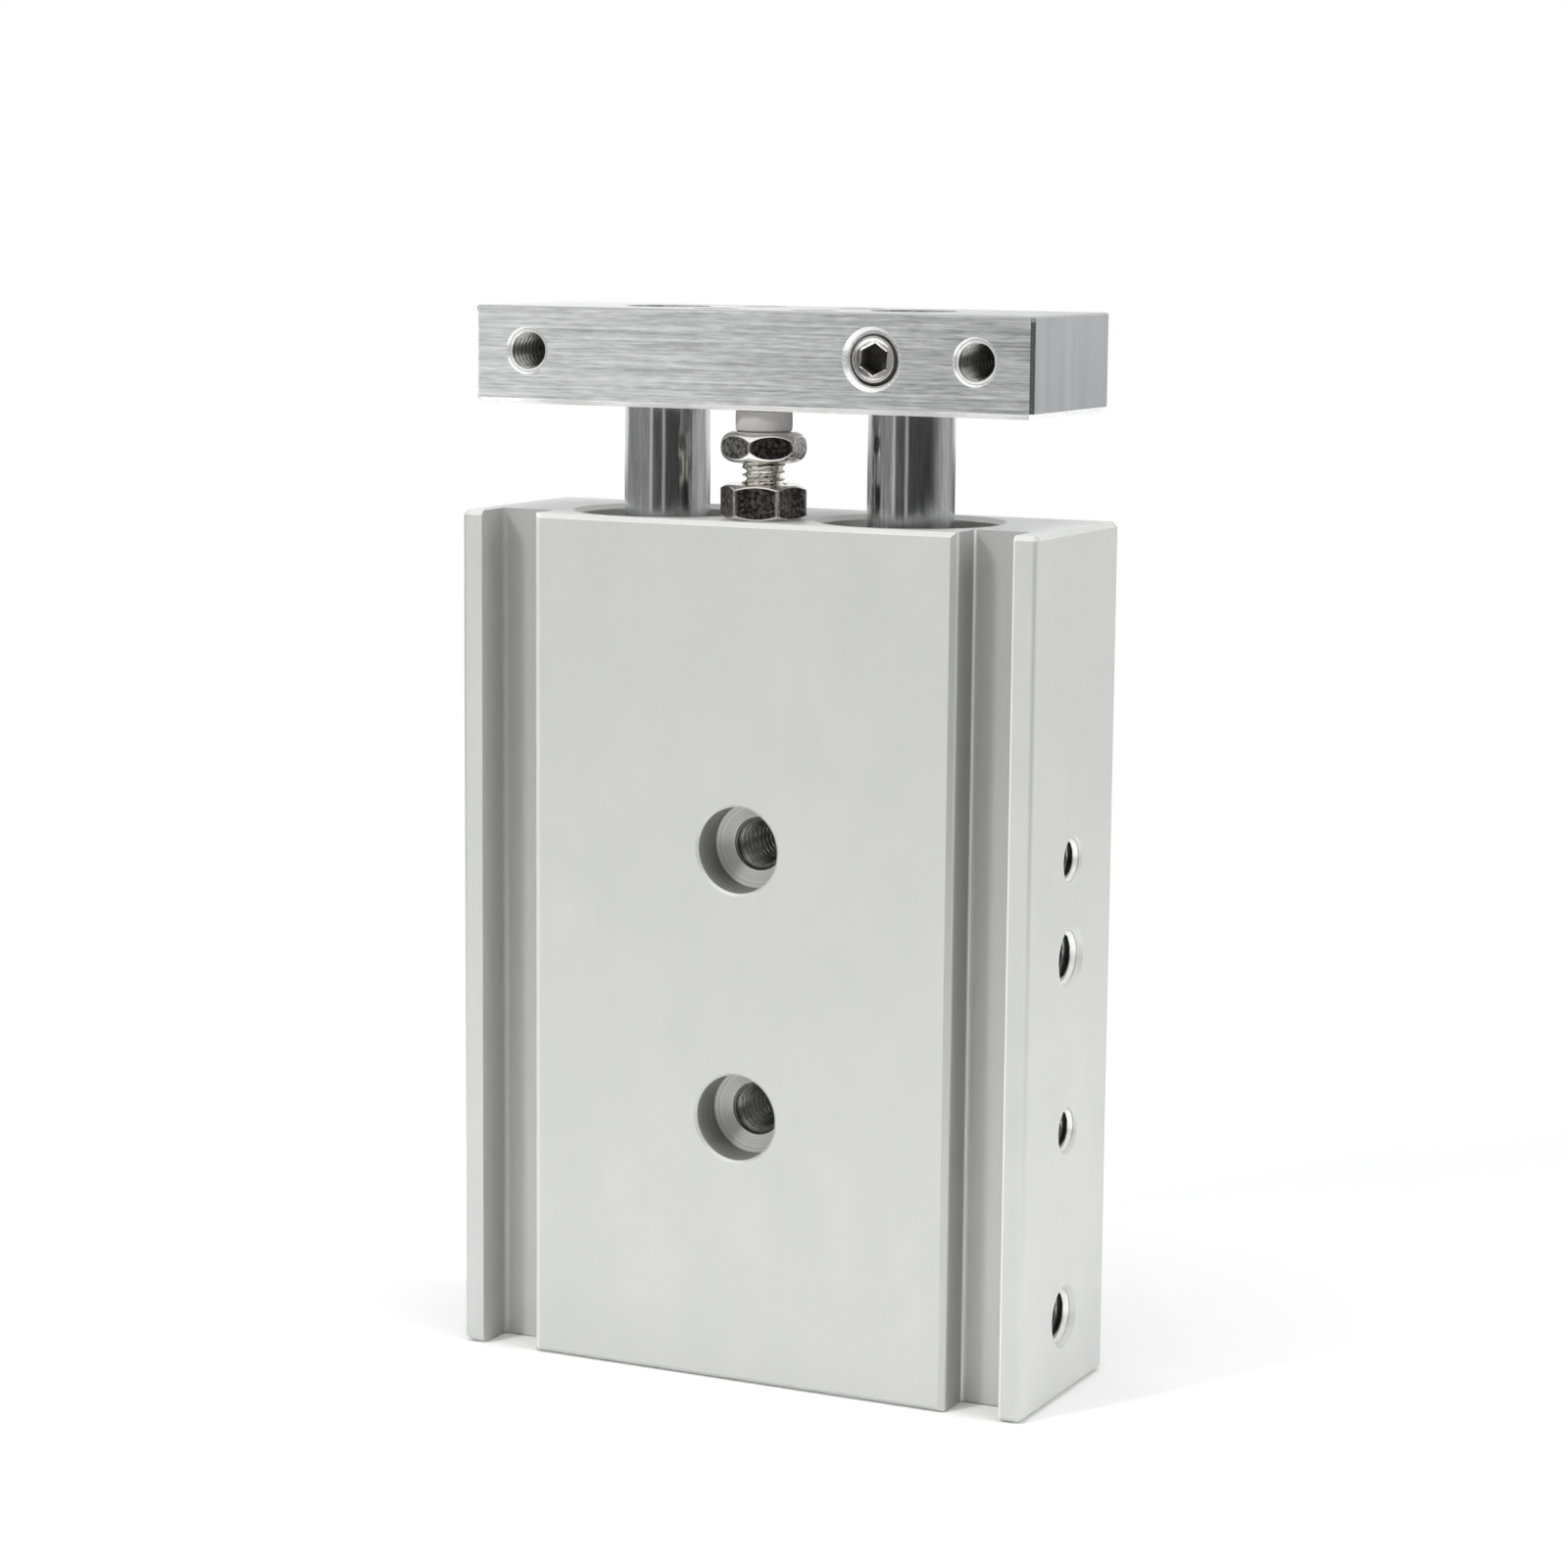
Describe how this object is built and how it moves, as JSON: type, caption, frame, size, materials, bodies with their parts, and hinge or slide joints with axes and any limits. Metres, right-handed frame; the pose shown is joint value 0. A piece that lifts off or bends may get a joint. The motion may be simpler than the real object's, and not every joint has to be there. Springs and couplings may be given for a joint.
{
  "type": "twin rod pneumatic cylinder",
  "caption": "Flat aluminium cylinder block with a pair of parallel chromed rods that push a drilled tool plate; a hex stop bolt with a soft pad sets where the plate lands.",
  "frame": {"origin": "middle of the body's bottom end face, at the head end", "axes": "+Z along the rods towards the tool plate, -Y out of the front face with the switch grooves, +X out of the side with the air ports"},
  "size_m": [0.058, 0.02, 0.099],
  "materials": {
    "anodised_body": "satin clear anodised",
    "brushed_plate": "brushed along its length",
    "hard_chrome": "ground and hard chromed",
    "nickel_plate": "bright nickel plated",
    "polyurethane": "matt moulded polyurethane",
    "seal_rubber": "black nitrile rubber",
    "turned_aluminium": "fine turned",
    "ferrite": "sintered",
    "spring_steel": "phosphated spring steel"
  },
  "bodies": {
    "housing": {"body": "anodised_body", "lock_nut": "nickel_plate", "left_head_end_ring": "spring_steel", "left_head_cover": "turned_aluminium", "left_head_cover_o_ring": "seal_rubber", "left_rod_cover": "turned_aluminium", "left_rod_cover_o_ring": "seal_rubber", "left_rod_seal": "seal_rubber", "left_seal_retainer": "turned_aluminium", "left_rod_end_ring": "spring_steel", "right_head_end_ring": "spring_steel", "right_head_cover": "turned_aluminium", "right_head_cover_o_ring": "seal_rubber", "right_rod_cover": "turned_aluminium", "right_rod_cover_o_ring": "seal_rubber", "right_rod_seal": "seal_rubber", "right_seal_retainer": "turned_aluminium", "right_rod_end_ring": "spring_steel"},
    "slider": {"tool_plate": "brushed_plate", "rod_cap_screw": "nickel_plate", "rod_set_screw": "nickel_plate", "left_piston_rod": "hard_chrome", "right_piston_rod": "hard_chrome", "left_piston": "turned_aluminium", "left_piston_seal": "seal_rubber", "left_piston_magnet": "ferrite", "left_piston_bumper": "polyurethane", "left_piston_screw": "nickel_plate", "right_piston": "turned_aluminium", "right_piston_seal": "seal_rubber", "right_piston_magnet": "ferrite", "right_piston_bumper": "polyurethane", "right_piston_screw": "nickel_plate"},
    "stop_pad": {"stop_bumper": "polyurethane"},
    "stop_screw": {"stop_bolt": "nickel_plate"}
  },
  "joints": [
    {"name": "rod_slide", "type": "slide", "parent": "housing", "child": "slider", "axis": [0, 0, 1], "range_m": [0, 0.02]},
    {"name": "stop_lift", "type": "slide", "parent": "housing", "child": "stop_pad", "axis": [0, 0, 1], "range_m": [-0.00195, 0]},
    {"name": "stop_turn", "type": "hinge", "parent": "stop_pad", "child": "stop_screw", "pos_m": [0, -0.005, 0.0866], "axis": [0, 0, 1], "range_deg": [-1003, 0]}
  ],
  "couplings": [
    {"joint": "stop_turn", "follows": "stop_lift", "rad_per_m": 8976}
  ]
}
